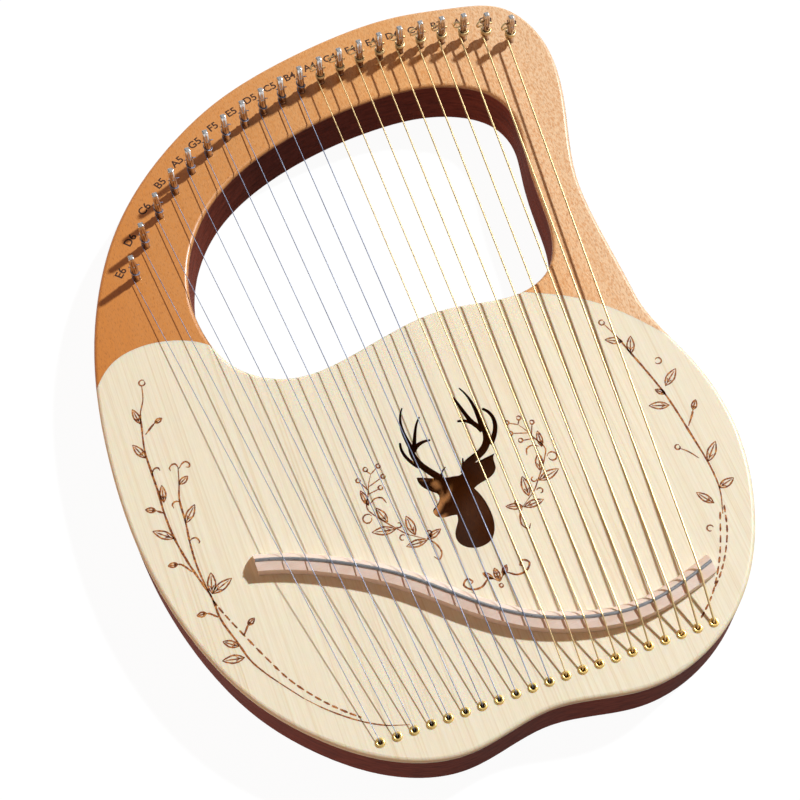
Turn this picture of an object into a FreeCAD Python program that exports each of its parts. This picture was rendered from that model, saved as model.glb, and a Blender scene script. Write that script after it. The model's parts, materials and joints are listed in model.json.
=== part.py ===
import FreeCAD, Part
import math
import os
from FreeCAD import Placement, Rotation, Vector

# A 21-string lyre harp, lying on its back: +X to the right, +Y towards the tuning
# yoke, +Z out of the soundboard. The back rests on z = 0, and the origin is under
# the middle of the harp's length and width. Every length is in millimetres.

doc = FreeCAD.newDocument("LyreHarp")

# ------------------------------------------------------------------ driving sizes

DRIVING_SIZES = {
    "body_depth": 37.0,
    "board_thickness": 3.0,
    "back_thickness": 4.0,
    "edge_round": 2.4,
    "datum_x": -2.8,
    "datum_y": -19.8,
    "pin_diameter": 4.9,
    "pin_bore": 5.0,
    "pin_length": 45.0,
    "pin_stand": 25.5,
    "pin_bore_spare": 0.8,
    "pin_first_x": -129.4,
    "pin_second_x": -116.9,
    "pin_spacing": 14.81,
    "head_length": 9.0,
    "head_flats": 3.9,
    "head_taper": 1.2,
    "eye_height": 14.6,
    "eye_bore": 1.8,
    "string_count": 21,
    "plain_count": 11,
    "plain_gauge": 0.45,
    "plain_step": 0.02,
    "wound_gauge": 0.80,
    "wound_step": 0.06,
    "plain_coil_height": 2.8,
    "wound_coil_height": 6.4,
    "wire_clearance": 0.06,
    "tail_length": 6.5,
    "grommet_first_x": -85.0,
    "grommet_spacing": 10.18,
    "grommet_row_y": -210.0,
    "grommet_throat": 1.15,
    "grommet_lip": 0.9,
    "grommet_length": 10.0,
    "string_bore": 3.0,
    "ferrule_diameter": 7.5,
    "ferrule_length": 6.0,
    "ferrule_recess": 5.0,
    "ball_diameter": 4.6,
    "ball_length": 3.4,
    "ball_inset": 0.4,
    "rod_diameter": 2.0,
    "bridge_height": 8.2,
    "bridge_shoulder": 7.0,
    "bridge_near": 6.4,
    "bridge_far": 6.2,
    "brace_width": 8.0,
    "brace_height": 9.0,
    "back_brace_height": 5.0,
}

sheet = doc.addObject("Spreadsheet::Sheet", "Sizes")
for row, (alias, value) in enumerate(DRIVING_SIZES.items(), start=1):
    sheet.set(f"A{row}", alias.replace("_", " "))
    sheet.set(f"B{row}", str(value))
    sheet.setAlias(f"B{row}", alias)
doc.recompute()


def size(alias):
    """The value of one cell of the sheet."""
    return float(getattr(sheet, alias))


STRING_COUNT = int(size("string_count"))
PLAIN_COUNT = int(size("plain_count"))
FRONT = size("body_depth")
CUT_MARGIN = 1.0
DRAWING_REACH = 300


def drawn(x, y, z=0.0):
    """A point of the front drawing, whose datum is beside the middle of the harp."""
    return Vector(x + size("datum_x"), y + size("datum_y"), z)


# --------------------------------------------------------------------- outlines
# Points of smooth closed curves on the front drawing, each listed clockwise.

BODY_OUTLINE = [
    (164.5, 8), (162.8, 62), (164.5, 104), (176, 148), (186, 190), (184.5, 227),
    (169.5, 253.5), (138, 265), (95, 271.8), (45, 269), (0, 260), (-41.5, 245.6),
    (-78, 224), (-109, 198), (-134, 168), (-152, 136), (-165, 103), (-175, 63),
    (-181, 8), (-179.5, -55), (-165, -119), (-144, -163), (-118, -194.5),
    (-84, -220.5), (-42, -232.6), (12, -225), (67, -232.6), (108, -224),
    (145, -197), (172.5, -151), (184.5, -98), (178, -45),
]

HAND_HOLE = [
    (-102, 84), (-99, 117), (-89, 141), (-75, 160.5), (-53, 179), (-25, 193),
    (0, 201), (30, 207), (60, 209.5), (90, 208), (118, 199), (137, 183),
    (143.5, 163), (139.8, 135), (134.7, 95), (129.5, 61), (119, 43.5), (100, 34.5),
    (80, 34.5), (45, 39.5), (15, 36.5), (-25, 27.5), (-50, 25.3), (-72, 31.5),
    (-91, 48.5),
]

SOUND_CHAMBER = [
    (-165, 28), (-155, 56), (-136, 66), (-117, 60), (-103, 43), (-82, 22),
    (-52, 13), (-20, 16), (15, 24), (52, 27), (90, 20), (122, 3), (148, -24),
    (163, -60), (168, -98), (158, -141), (133, -175), (97, -190), (12, -195),
    (-72, -193), (-107, -183), (-133, -156), (-153, -114), (-166, -60), (-169, -12),
]

# The joint between the yoke and the boards, which crosses the hand hole in a
# straight line. Both ends run out past the side of the body.
SEAM_LEFT = [(-196, 30), (-174, 62), (-160, 75.5), (-144, 80), (-125, 78.5), (-110, 73), (-96, 62)]
SEAM_RIGHT = [(91, 45), (97.5, 34), (108, 28.5), (125, 19.5), (150, -1), (170, -26), (200, -56)]
SEAM_OUTSIDE = [(200, -250), (-196, -250)]

BRIDGE_LINE = [
    (-128, -83), (-100, -90.5), (-70, -104.5), (-40, -123.5), (-10, -150),
    (20, -172), (50, -184), (80, -188.5), (106, -184.7), (136, -175.5),
]

PIN_LINE = [
    (-136, 114), (-117, 150.5), (-88, 183.5), (-44, 212.5), (1, 229),
    (46, 238), (91, 241), (121, 238.5), (151, 230.5), (172, 217),
]


def smooth_curve(points, closed=False):
    """The curve through points of the front drawing."""
    curve = Part.BSplineCurve()
    curve.interpolate(Points=[drawn(x, y) for x, y in points], PeriodicFlag=closed)
    return curve


def seam_edges():
    """The closed outline of everything below the joint with the yoke."""
    left = smooth_curve(SEAM_LEFT)
    right = smooth_curve(SEAM_RIGHT)
    corners = [right.EndPoint] + [drawn(x, y) for x, y in SEAM_OUTSIDE] + [left.StartPoint]
    edges = [left, Part.LineSegment(left.EndPoint, right.StartPoint), right]
    for start, end in zip(corners, corners[1:]):
        edges.append(Part.LineSegment(start, end))
    return edges


# ------------------------------------------------------------- PartDesign helpers

def origin_plane(body, role):
    """One of a body's own origin planes."""
    return next(plane for plane in body.Origin.OriginFeatures if plane.Role == role)


def new_body(name):
    body = doc.addObject("PartDesign::Body", name)
    body.Label = name
    return body


def new_sketch(body, name, geometry, plane="XY_Plane", offset=None):
    sketch = body.newObject("Sketcher::SketchObject", name)
    sketch.AttachmentSupport = [(origin_plane(body, plane), "")]
    sketch.MapMode = "FlatFace"
    if offset:
        sketch.setExpression(".AttachmentOffset.Base.z", offset)
    for item in geometry:
        sketch.addGeometry(item, False)
    return sketch


def new_pad(body, name, sketch, length):
    pad = body.newObject("PartDesign::Pad", name)
    pad.Profile = sketch
    pad.setExpression("Length", length)
    doc.recompute()
    return pad


def new_through_pocket(body, name, sketch):
    """A pocket both ways from its sketch, which has to take material away."""
    before = body.Shape.Volume
    pocket = body.newObject("PartDesign::Pocket", name)
    pocket.Profile = sketch
    pocket.Type = "ThroughAll"
    pocket.Midplane = True
    doc.recompute()
    if body.Shape.Volume > before - 0.1:
        raise ValueError(f"{name} cuts nothing")
    return pocket


def level_edges(shape):
    """The names of the edges that lie level, which are those of the flat faces."""
    names = []
    for number, edge in enumerate(shape.Edges, start=1):
        if edge.BoundBox.ZLength < 0.001:
            names.append(f"Edge{number}")
    return names


def slab(name, geometry, bottom, length):
    """A flat piece of one outline, with its two heights bound to the sheet."""
    body = new_body(name)
    sketch = new_sketch(body, f"{name}_outline", geometry, offset=bottom)
    new_pad(body, f"{name}_pad", sketch, length)
    return body


def boolean(kind, name, base, tool):
    result = doc.addObject(f"Part::{kind}", name)
    result.Label = name
    result.Base = base
    result.Tool = tool
    result.Refine = False
    doc.recompute()
    return result


def fixed_shape(name, shape, position=None):
    """A piece whose shape is worked out from the sheet by this file."""
    feature = doc.addObject("Part::Feature", name)
    feature.Label = name
    feature.Shape = shape
    if position:
        feature.Placement = Placement(position, Rotation())
    return feature


# ------------------------------------------------------------------ body and boards

def whole_body():
    """The rounded block that the frame and both boards are parts of."""
    body = new_body("whole_body")
    outline = new_sketch(body, "body_outline", [smooth_curve(BODY_OUTLINE, closed=True)])
    new_pad(body, "body_pad", outline, "Sizes.body_depth")
    hole = new_sketch(body, "hand_hole_outline", [smooth_curve(HAND_HOLE, closed=True)])
    pocket = new_through_pocket(body, "hand_hole", hole)
    rounding = body.newObject("PartDesign::Fillet", "edge_rounding")
    rounding.Base = (pocket, level_edges(pocket.Shape))
    rounding.setExpression("Radius", "Sizes.edge_round")
    doc.recompute()
    return body


def crossing_of(curve, x):
    """Where a curve crosses an upright line of the front drawing."""
    upright = Part.LineSegment(drawn(x, -DRAWING_REACH), drawn(x, DRAWING_REACH))
    crossing = curve.intersectCC(upright)[0]
    return Vector(crossing.X, crossing.Y, 0)


def pin_places():
    """The foot of each tuning pin: the first stands nearer the others, which are evenly spaced."""
    curve = smooth_curve(PIN_LINE)
    across = [size("pin_first_x")]
    for index in range(STRING_COUNT - 1):
        across.append(size("pin_second_x") + index * size("pin_spacing"))
    return [crossing_of(curve, x) + Vector(0, 0, FRONT) for x in across]


def grommet_places():
    places = []
    for index in range(STRING_COUNT):
        x = size("grommet_first_x") + index * size("grommet_spacing")
        places.append(drawn(x, size("grommet_row_y")))
    return places


def bores(places, radius, bottom, top):
    """Round holes of one size, as solids to be cut away."""
    solids = []
    for place in places:
        foot = Vector(place.x, place.y, bottom)
        solids.append(Part.makeCylinder(radius, top - bottom, foot))
    return Part.makeCompound(solids)


PINS = pin_places()
GROMMETS = grommet_places()
PIN_DEPTH = size("pin_length") - size("pin_stand")

block = whole_body()
front_region = slab(
    "front_region", seam_edges(), "Sizes.body_depth - Sizes.board_thickness", "Sizes.board_thickness + 1"
)
back_region = slab("back_region", seam_edges(), "-1", "Sizes.back_thickness + 1")
chamber = slab(
    "chamber", [smooth_curve(SOUND_CHAMBER, closed=True)], "-1", "Sizes.body_depth + 2"
)

pin_bores = fixed_shape(
    "pin_bores",
    bores(PINS, size("pin_bore") / 2, FRONT - PIN_DEPTH - size("pin_bore_spare"), FRONT + CUT_MARGIN),
)
string_bores = fixed_shape(
    "string_bores", bores(GROMMETS, size("string_bore") / 2, -CUT_MARGIN, FRONT + CUT_MARGIN)
)
GROMMET_BARREL = size("grommet_throat") + size("grommet_lip")
grommet_bores = fixed_shape(
    "grommet_bores",
    bores(GROMMETS, GROMMET_BARREL, FRONT - size("grommet_length"), FRONT + CUT_MARGIN),
)
ferrule_bores = fixed_shape(
    "ferrule_bores",
    bores(GROMMETS, size("ferrule_diameter") / 2, -CUT_MARGIN, size("ferrule_length")),
)


def cut_in_turn(name, base, tools):
    """Take several tools away from one base; the last cut carries the name."""
    for number, tool in enumerate(tools[:-1], start=1):
        base = boolean("Cut", f"{name}_cut_{number}", base, tool)
    return boolean("Cut", name, base, tools[-1])


body_frame = cut_in_turn(
    "body_frame",
    block,
    [front_region, back_region, chamber, pin_bores, string_bores, grommet_bores, ferrule_bores],
)

# ---------------------------------------------------------------------- sound hole
# A stag's head: one outline for the head, ears and neck, and tapered blades for
# the antlers. All of it is drawn on the front drawing and cut through the board.

STAG_HEAD = [
    [(4.5, -69.5), (7, -71), (11, -71.6), (14.5, -72.3), (17.5, -70)],
    [(17.5, -70), (22, -67.5), (27.5, -67.8)],
    [(27.5, -67.8), (33, -66.9), (39.8, -66)],
    [(39.8, -66), (37.6, -70.5), (37, -75), (33, -79.2), (27, -81), (20, -83.4)],
    [(20, -83.4), (22.6, -90.5), (23.8, -100), (22.6, -110), (18.5, -117.2)],
    [(18.5, -117.2), (11.5, -119.8), (3.5, -118), (-1.4, -112), (-0.7, -106), (2.8, -100.6), (4.2, -96)],
    [(4.2, -96), (0, -95.2), (-5, -94.5), (-7.9, -92), (-8.4, -89), (-6.5, -87)],
    [(-6.5, -87), (-3.2, -84.4), (-1.7, -81.8), (-1.8, -79.4), (-4.2, -77), (-7, -74.2), (-10, -64.8)],
    [(-10, -64.8), (-6, -66.3), (-1, -68.5), (4.5, -69.5)],
]

# Each blade: its middle line from root to tip, then its width at root and at tip.
ANTLERS = [
    ([(3.5, -70.5), (-2, -62.5), (-6, -54.5), (-6.4, -45)], 4.6, 3.4),
    ([(-6.2, -46.5), (-7.2, -36), (-6.6, -27), (-2.4, -18)], 3.4, 0.9),
    ([(-5, -46), (-1.3, -38), (1.7, -32), (5.4, -27.4)], 2.8, 1.0),
    ([(-6, -48), (-3.2, -45.4), (0.5, -44), (5.9, -44)], 3.6, 1.4),
    ([(-6.4, -58.5), (-10, -53), (-12, -47), (-11.6, -40.2)], 2.6, 1.5),
    ([(19.5, -69.5), (27, -64.6), (34.5, -61.2), (38.8, -55.5), (39.4, -45)], 5.4, 4.2),
    ([(39.2, -47), (39.6, -37), (38.9, -27), (35.6, -17.3)], 3.4, 0.9),
    ([(37.2, -46), (34, -40), (32, -32), (29.6, -22.4)], 3.4, 1.6),
    ([(38.4, -49.5), (36, -44.2), (32.5, -40.4), (27, -38.2)], 3.8, 1.6),
    ([(39.5, -59.5), (44, -54.5), (47.6, -46), (44.3, -35.8)], 3.6, 1.9),
    ([(3.8, -71.5), (5, -67.5), (8.6, -64.4)], 1.8, 0.6),
    ([(17, -71.5), (19, -67), (20.5, -62.6)], 2.6, 0.8),
]


def curved_blade(middle, root_width, tip_width):
    """A tapered strip round a curved middle line, with a half-round tip."""
    spine = smooth_curve(middle)
    first, last = spine.FirstParameter, spine.LastParameter
    sides = {1: [], -1: []}
    for number in range(len(middle) + 1):
        share = number / len(middle)
        at = first + share * (last - first)
        along = spine.tangent(at)[0]
        half = (root_width + (tip_width - root_width) * share) / 2
        for side in sides:
            across = Vector(-along.y, along.x, 0) * (side * half)
            sides[side].append(spine.value(at) + across)
    left = Part.BSplineCurve()
    left.interpolate(sides[1])
    right = Part.BSplineCurve()
    right.interpolate(sides[-1])
    tip = spine.EndPoint + spine.tangent(last)[0] * (tip_width / 2)
    edges = [
        left.toShape(),
        Part.Arc(left.EndPoint, tip, right.EndPoint).toShape(),
        right.toShape(),
        Part.LineSegment(right.StartPoint, left.StartPoint).toShape(),
    ]
    return Part.Face(Part.Wire(Part.__sortEdges__(edges)))


def stag_prism():
    """The stag's head through the soundboard."""
    head_edges = [smooth_curve(points).toShape() for points in STAG_HEAD]
    faces = [Part.Face(Part.Wire(head_edges))]
    for middle, root_width, tip_width in ANTLERS:
        faces.append(curved_blade(middle, root_width, tip_width))
    below = FRONT - size("board_thickness") - CUT_MARGIN
    height = Vector(0, 0, size("board_thickness") + 2 * CUT_MARGIN)
    prisms = []
    for face in faces:
        face.translate(Vector(0, 0, below))
        prisms.append(face.extrude(height))
    return prisms[0].fuse(prisms[1:])


stag = fixed_shape("stag", stag_prism())
front_blank = boolean("Common", "front_blank", block, front_region)
soundboard = cut_in_turn("soundboard", front_blank, [stag, grommet_bores])
back_blank = boolean("Common", "back_blank", block, back_region)
back_plate = cut_in_turn("back_plate", back_blank, [ferrule_bores])

# --------------------------------------------------------------- bridge and braces

BRIDGE_CURVE = smooth_curve(BRIDGE_LINE)
ROD_RADIUS = size("rod_diameter") / 2
ROD_HEIGHT = FRONT + size("bridge_height")
ROD_INSET = 0.5
BRIDGE_ENDS = (-118, 131)
GROOVE_SPARE = 0.02


def pipe_along(path, section):
    """A solid with one upright section all along a level curve."""
    maker = Part.BRepOffsetAPI.MakePipeShell(path)
    maker.setBiNormalMode(Vector(0, 0, 1))
    maker.add(section)
    maker.build()
    maker.makeSolid()
    return maker.shape()


def bridge_section(start, across):
    """Steep near side, gently sloping top, a groove for the rod and a round far side."""
    groove = ROD_RADIUS + GROOVE_SPARE
    corners = {
        "near_foot": (-size("bridge_near"), 0),
        "shoulder": (-size("bridge_near"), size("bridge_shoulder")),
        "crown_near": (-groove, size("bridge_height")),
        "groove": (0, size("bridge_height") - groove),
        "crown_far": (groove, size("bridge_height")),
        "far_side": (0.72 * size("bridge_far"), 0.62 * size("bridge_height")),
        "far_foot": (size("bridge_far"), 0),
    }
    at = {}
    for corner, (out, up) in corners.items():
        at[corner] = start + across * out + Vector(0, 0, up)
    edges = [
        Part.LineSegment(at["near_foot"], at["shoulder"]).toShape(),
        Part.LineSegment(at["shoulder"], at["crown_near"]).toShape(),
        Part.Arc(at["crown_near"], at["groove"], at["crown_far"]).toShape(),
        Part.Arc(at["crown_far"], at["far_side"], at["far_foot"]).toShape(),
        Part.LineSegment(at["far_foot"], at["near_foot"]).toShape(),
    ]
    return Part.Wire(edges)


def between_ends():
    """A block round the bridge whose sides are the bar's two sawn ends."""
    left, right = BRIDGE_ENDS
    corner = drawn(left, -DRAWING_REACH, FRONT)
    return Part.makeBox(right - left, 2 * DRAWING_REACH, 2 * size("bridge_height"), corner)


def bridge_bar():
    """The curved wooden bar, grooved for the rod and sawn straight at both ends."""
    start = BRIDGE_CURVE.StartPoint + Vector(0, 0, FRONT)
    along = BRIDGE_CURVE.tangent(BRIDGE_CURVE.FirstParameter)[0]
    section = bridge_section(start, Vector(-along.y, along.x, 0))
    path = BRIDGE_CURVE.copy()
    path.translate(Vector(0, 0, FRONT))
    return pipe_along(Part.Wire(path.toShape()), section).common(between_ends())


def saddle_rod_shape():
    """The steel rod along the crown, a little shorter than the bar."""
    left, right = BRIDGE_ENDS
    path = BRIDGE_CURVE.copy()
    first = path.parameter(crossing_of(BRIDGE_CURVE, left + ROD_INSET))
    last = path.parameter(crossing_of(BRIDGE_CURVE, right - ROD_INSET))
    path.segment(first, last)
    path.translate(Vector(0, 0, ROD_HEIGHT))
    along = path.tangent(path.FirstParameter)[0]
    circle = Part.Circle(path.StartPoint, along, ROD_RADIUS)
    return pipe_along(Part.Wire(path.toShape()), Part.Wire(circle.toShape()))


saddle_rod = fixed_shape("saddle_rod", saddle_rod_shape())
bridge = fixed_shape("bridge", bridge_bar())


# The left end, the right end and the near side of each brace on the front drawing.
UPPER_BRACE = (-150, 128, -9)
LOWER_BRACE = (-134, 148, -142)
BACK_BRACE = (-138, 152, -133)


def brace(name, place, bottom, height):
    """A straight bar glued across the inside of a board."""
    left, right, near = place
    bar = doc.addObject("Part::Box", name)
    bar.Label = name
    bar.Length = right - left
    bar.setExpression("Width", "Sizes.brace_width")
    bar.setExpression("Height", height)
    bar.Placement = Placement(drawn(left, near, bottom), Rotation())
    return bar


under_board = FRONT - size("board_thickness") - size("brace_height")
upper_brace = brace("soundboard_brace_upper", UPPER_BRACE, under_board, "Sizes.brace_height")
lower_brace = brace("soundboard_brace_lower", LOWER_BRACE, under_board, "Sizes.brace_height")
back_brace = brace("back_brace", BACK_BRACE, size("back_thickness"), "Sizes.back_brace_height")

# ------------------------------------------------------- grommets, ferrules, ball ends


def turned_piece(profile_edges):
    """A round piece turned from a half section in the XZ plane."""
    face = Part.Face(Part.Wire(profile_edges))
    return face.revolve(Vector(), Vector(0, 0, 1), 360)


def outline_edges(points):
    """Straight edges round a closed list of points."""
    return [Part.LineSegment(a, b).toShape() for a, b in zip(points, points[1:] + points[:1])]


def grommet_shape():
    """A brass eyelet: a barrel in the wood and a half-round lip on the board."""
    throat, lip = size("grommet_throat"), size("grommet_lip")
    foot = -size("grommet_length")
    inner, middle, outer = throat, throat + lip, throat + 2 * lip
    edges = [
        Part.LineSegment(Vector(inner, 0, foot), Vector(inner, 0, 0)).toShape(),
        Part.Arc(Vector(inner, 0, 0), Vector(middle, 0, lip), Vector(outer, 0, 0)).toShape(),
        Part.LineSegment(Vector(outer, 0, 0), Vector(middle, 0, 0)).toShape(),
        Part.LineSegment(Vector(middle, 0, 0), Vector(middle, 0, foot)).toShape(),
        Part.LineSegment(Vector(middle, 0, foot), Vector(inner, 0, foot)).toShape(),
    ]
    return turned_piece(edges)


def ferrule_shape():
    """A brass cup in the back that a string's ball end pulls against."""
    outer = size("ferrule_diameter") / 2
    recess = size("ferrule_recess") / 2
    hole = size("string_bore") / 2
    top = size("ferrule_length")
    seat = size("ball_inset") + size("ball_length")
    points = [
        Vector(recess, 0, 0), Vector(outer, 0, 0), Vector(outer, 0, top),
        Vector(hole, 0, top), Vector(hole, 0, seat), Vector(recess, 0, seat),
    ]
    return turned_piece(outline_edges(points))


def group(name, shape, places, height):
    """Identical pieces, one at each place, as separate solids of one group."""
    solids = []
    for place in places:
        copy = shape.copy()
        copy.translate(Vector(place.x, place.y, height))
        solids.append(copy)
    return fixed_shape(name, Part.makeCompound(solids))


ball_shape = Part.makeCylinder(size("ball_diameter") / 2, size("ball_length"))
string_grommets = group("string_grommets", grommet_shape(), GROMMETS, FRONT)
string_ferrules = group("string_ferrules", ferrule_shape(), GROMMETS, 0)
string_ball_ends = group("string_ball_ends", ball_shape, GROMMETS, size("ball_inset"))

# ------------------------------------------------------------------------- strings

PLAIN_PITCH = 6.4
PLAIN_TURNS = 1.25
WOUND_PITCH_SPARE = 0.2
WOUND_TURNS = 2.25
APPROACH_RADIUS = 12.0


def string_facts(index):
    """Gauge, coil and end points of one string, counted from the shortest."""
    place = PINS[index]
    hole = GROMMETS[index]
    if index < PLAIN_COUNT:
        radius = (size("plain_gauge") + size("plain_step") * index) / 2
        pitch, turns = PLAIN_PITCH, PLAIN_TURNS
        rise = size("plain_coil_height")
    else:
        wound = index - PLAIN_COUNT
        radius = (size("wound_gauge") + size("wound_step") * wound) / 2
        pitch, turns = 2 * radius + WOUND_PITCH_SPARE, WOUND_TURNS
        rise = size("wound_coil_height")
    coil_radius = size("pin_diameter") / 2 + radius + size("wire_clearance")
    to_pin = Vector(place.x - hole.x, place.y - hole.y, 0)
    swing = math.asin(coil_radius / to_pin.Length)
    heading = math.atan2(to_pin.y, to_pin.x) + swing
    return {
        "radius": radius,
        "pitch": pitch,
        "turns": turns,
        "coil_radius": coil_radius,
        "coil_start": FRONT + rise,
        "coil_end": FRONT + rise + pitch * turns,
        "hole": hole,
        "pin": place,
        "along": Vector(math.cos(heading), math.sin(heading), 0),
        "left": Vector(-math.sin(heading), math.cos(heading), 0),
        "reach": math.sqrt(to_pin.Length ** 2 - coil_radius ** 2),
    }


def point_on(centre, radius, angle):
    return (centre[0] + radius * math.cos(angle), centre[1] + radius * math.sin(angle))


def line_angle(first, second, difference):
    """Which way the normal points of the line that touches two circles."""
    gap = (second[0] - first[0], second[1] - first[1])
    return math.atan2(gap[1], gap[0]) + math.acos(difference / math.hypot(*gap))


def rod_distance(facts):
    """How far from its grommet a string crosses the rod, measured level."""
    hole = facts["hole"]
    level = Part.LineSegment(hole, hole + facts["along"] * facts["reach"])
    crossing = BRIDGE_CURVE.intersectCC(level)[0]
    return math.hypot(crossing.X - hole.x, crossing.Y - hole.y)


def string_run(facts):
    """Up from the ball end, over the grommet's lip and the rod, and on to the pin."""
    lip_radius = GROMMET_BARREL
    lip = (lip_radius, FRONT)
    rod = (rod_distance(facts), ROD_HEIGHT)
    over_rod = ROD_RADIUS + facts["radius"] + size("wire_clearance") / 2
    slope = math.atan2(facts["pitch"], 2 * math.pi * facts["coil_radius"])
    arrival = (facts["reach"], facts["coil_start"])
    bend = point_on(arrival, APPROACH_RADIUS, slope + math.pi / 2)
    up = line_angle(lip, rod, lip_radius - over_rod)
    down = line_angle(rod, bend, over_rod + APPROACH_RADIUS)
    last = -math.pi / 2 + slope
    route = [
        ("line", (0, size("ball_inset") + size("ball_length")), (0, FRONT)),
        ("arc", lip, lip_radius, math.pi, up),
        ("line", point_on(lip, lip_radius, up), point_on(rod, over_rod, up)),
        ("arc", rod, over_rod, up, down),
        ("line", point_on(rod, over_rod, down), point_on(bend, APPROACH_RADIUS, down - math.pi)),
        ("arc", bend, APPROACH_RADIUS, down - math.pi, last),
    ]

    def solid_point(flat):
        return facts["hole"] + facts["along"] * flat[0] + Vector(0, 0, flat[1])

    edges = []
    for kind, *rest in route:
        if kind == "line":
            edge = Part.LineSegment(solid_point(rest[0]), solid_point(rest[1]))
        else:
            centre, radius, first, end = rest
            on_arc = [point_on(centre, radius, angle) for angle in (first, (first + end) / 2, end)]
            edge = Part.Arc(*[solid_point(flat) for flat in on_arc])
        edges.append(edge.toShape())
    start = solid_point(route[0][1])
    circle = Part.Circle(start, Vector(0, 0, 1), facts["radius"])
    return Part.Wire(edges).makePipeShell([Part.Wire(circle.toShape())], True, True)


def left_hand_coil(radius, pitch, rise, wire_radius, turned, foot):
    """A wire that climbs clockwise round a pin, from a bearing in radians."""
    helix = Part.makeHelix(pitch, rise, radius, 0, True)
    slope = math.atan2(pitch, 2 * math.pi * radius)
    start_way = Vector(0, -math.cos(slope), math.sin(slope))
    circle = Part.Circle(Vector(radius, 0, 0), start_way, wire_radius)
    coil = Part.Wire(helix.Edges).makePipeShell([Part.Wire(circle.toShape())], True, True)
    coil.rotate(Vector(), Vector(0, 0, 1), math.degrees(turned))
    coil.translate(foot)
    return coil


def string_shape(facts):
    """One string, from its ball end to the last turn on its pin."""
    foot = Vector(facts["pin"].x, facts["pin"].y, facts["coil_start"])
    bearing = math.atan2(facts["left"].y, facts["left"].x)
    rise = facts["pitch"] * facts["turns"]
    coil = left_hand_coil(
        facts["coil_radius"], facts["pitch"], rise, facts["radius"], bearing, foot
    )
    return string_run(facts).fuse(coil).removeSplitter()


# --------------------------------------------------------------------- tuning pins

def head_profile():
    """A square with its corners on the pin's own circle."""
    radius = size("pin_diameter") / 2
    flat = size("head_flats") / 2
    half = math.sqrt(radius ** 2 - flat ** 2)
    middle = radius * math.sqrt(0.5)
    edges = []
    for quarter in range(4):
        turn = Rotation(Vector(0, 0, 1), 90 * quarter)
        low, high = Vector(flat, -half, 0), Vector(flat, half, 0)
        next_low = Vector(half, flat, 0)
        edges.append(Part.LineSegment(turn.multVec(low), turn.multVec(high)))
        arc = Part.Arc(
            turn.multVec(high), turn.multVec(Vector(middle, middle, 0)), turn.multVec(next_low)
        )
        edges.append(arc)
    return edges


def pin_blank():
    """The steel pin without its string, with z = 0 at the face of the yoke."""
    body = new_body("pin_blank")
    round_edge = Part.Circle(Vector(), Vector(0, 0, 1), size("pin_diameter") / 2)
    shaft_sketch = new_sketch(
        body, "shaft_section", [round_edge], offset="Sizes.pin_stand - Sizes.pin_length"
    )
    new_pad(body, "shaft", shaft_sketch, "Sizes.pin_length - Sizes.head_length")
    head_sketch = new_sketch(
        body, "head_section", head_profile(), offset="Sizes.pin_stand - Sizes.head_length"
    )
    head = new_pad(body, "head", head_sketch, "Sizes.head_length")
    head.setExpression("TaperAngle", "-Sizes.head_taper")
    eye_edge = Part.Circle(Vector(0, size("eye_height"), 0), Vector(0, 0, 1), size("eye_bore") / 2)
    eye_sketch = new_sketch(body, "eye_section", [eye_edge], plane="YZ_Plane")
    new_through_pocket(body, "eye", eye_sketch)
    return body


def tail_shape(facts):
    """The end of a string on its own pin: up from the coil and through the eye."""
    wire = facts["radius"]
    pin_foot = facts["pin"]
    low = facts["coil_end"] - FRONT + 2 * wire + 2 * size("wire_clearance")
    eye = size("eye_height")
    bearing = math.atan2(facts["left"].y, facts["left"].x) - 2 * math.pi * facts["turns"]
    sweep = bearing % (2 * math.pi)
    pitch = (eye - low) * 2 * math.pi / sweep
    riser = left_hand_coil(
        facts["coil_radius"], pitch, eye - low, wire, bearing, pin_foot + Vector(0, 0, low)
    )
    corner = pin_foot + Vector(facts["coil_radius"], 0, eye)
    knuckle = Part.makeSphere(wire, corner)
    length = facts["coil_radius"] + size("tail_length")
    through = Part.makeCylinder(wire, length, corner, Vector(-1, 0, 0))
    return riser.fuse([knuckle, through]).removeSplitter()


pin_pattern = pin_blank()
nodes = [
    body_frame, soundboard, back_plate, bridge, saddle_rod, upper_brace, lower_brace,
    back_brace, string_grommets, string_ferrules, string_ball_ends,
]

for index in range(STRING_COUNT):
    facts = string_facts(index)
    number = f"{index + 1:02d}"
    nodes.append(fixed_shape(f"string_{number}", string_shape(facts)))
    pin_solid = pin_pattern.Shape.copy()
    tail = tail_shape(facts)
    tail.translate(-facts["pin"])
    pin = Part.makeCompound([pin_solid, tail])
    nodes.append(fixed_shape(f"tuning_pin_{number}", pin, facts["pin"]))

doc.recompute()

# -------------------------------------------------------------------------- checks


def check_document():
    """Stop if any object failed or any node's shape is null or invalid."""
    for item in doc.Objects:
        if "Invalid" in item.State or "Error" in item.State:
            raise ValueError(f"{item.Name} failed: {item.State}")
    for node in nodes:
        if node.Shape.isNull() or not node.Shape.isValid() or not node.Shape.Solids:
            raise ValueError(f"{node.Label} has no sound shape")


check_document()
os.makedirs("parts", exist_ok=True)
for node in nodes:
    node.Shape.exportStep(f"parts/{node.Label}.step")
    print(f"{node.Label}: {len(node.Shape.Solids)} solids, {node.Shape.Volume:.1f} mm3")

box = Part.makeCompound([node.Shape for node in nodes]).BoundBox
print(f"size {box.XLength:.2f} x {box.YLength:.2f} x {box.ZLength:.2f}")
print(f"middle {box.Center.x:.2f}, {box.Center.y:.2f}, bottom {box.ZMin:.2f}")
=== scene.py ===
"""The looks of a 21-string lyre harp: woods, metals, engraving, note marks and tuning pins."""

import json
import math
import random

import bmesh
import bpy
from mathutils import Matrix, Vector


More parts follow.
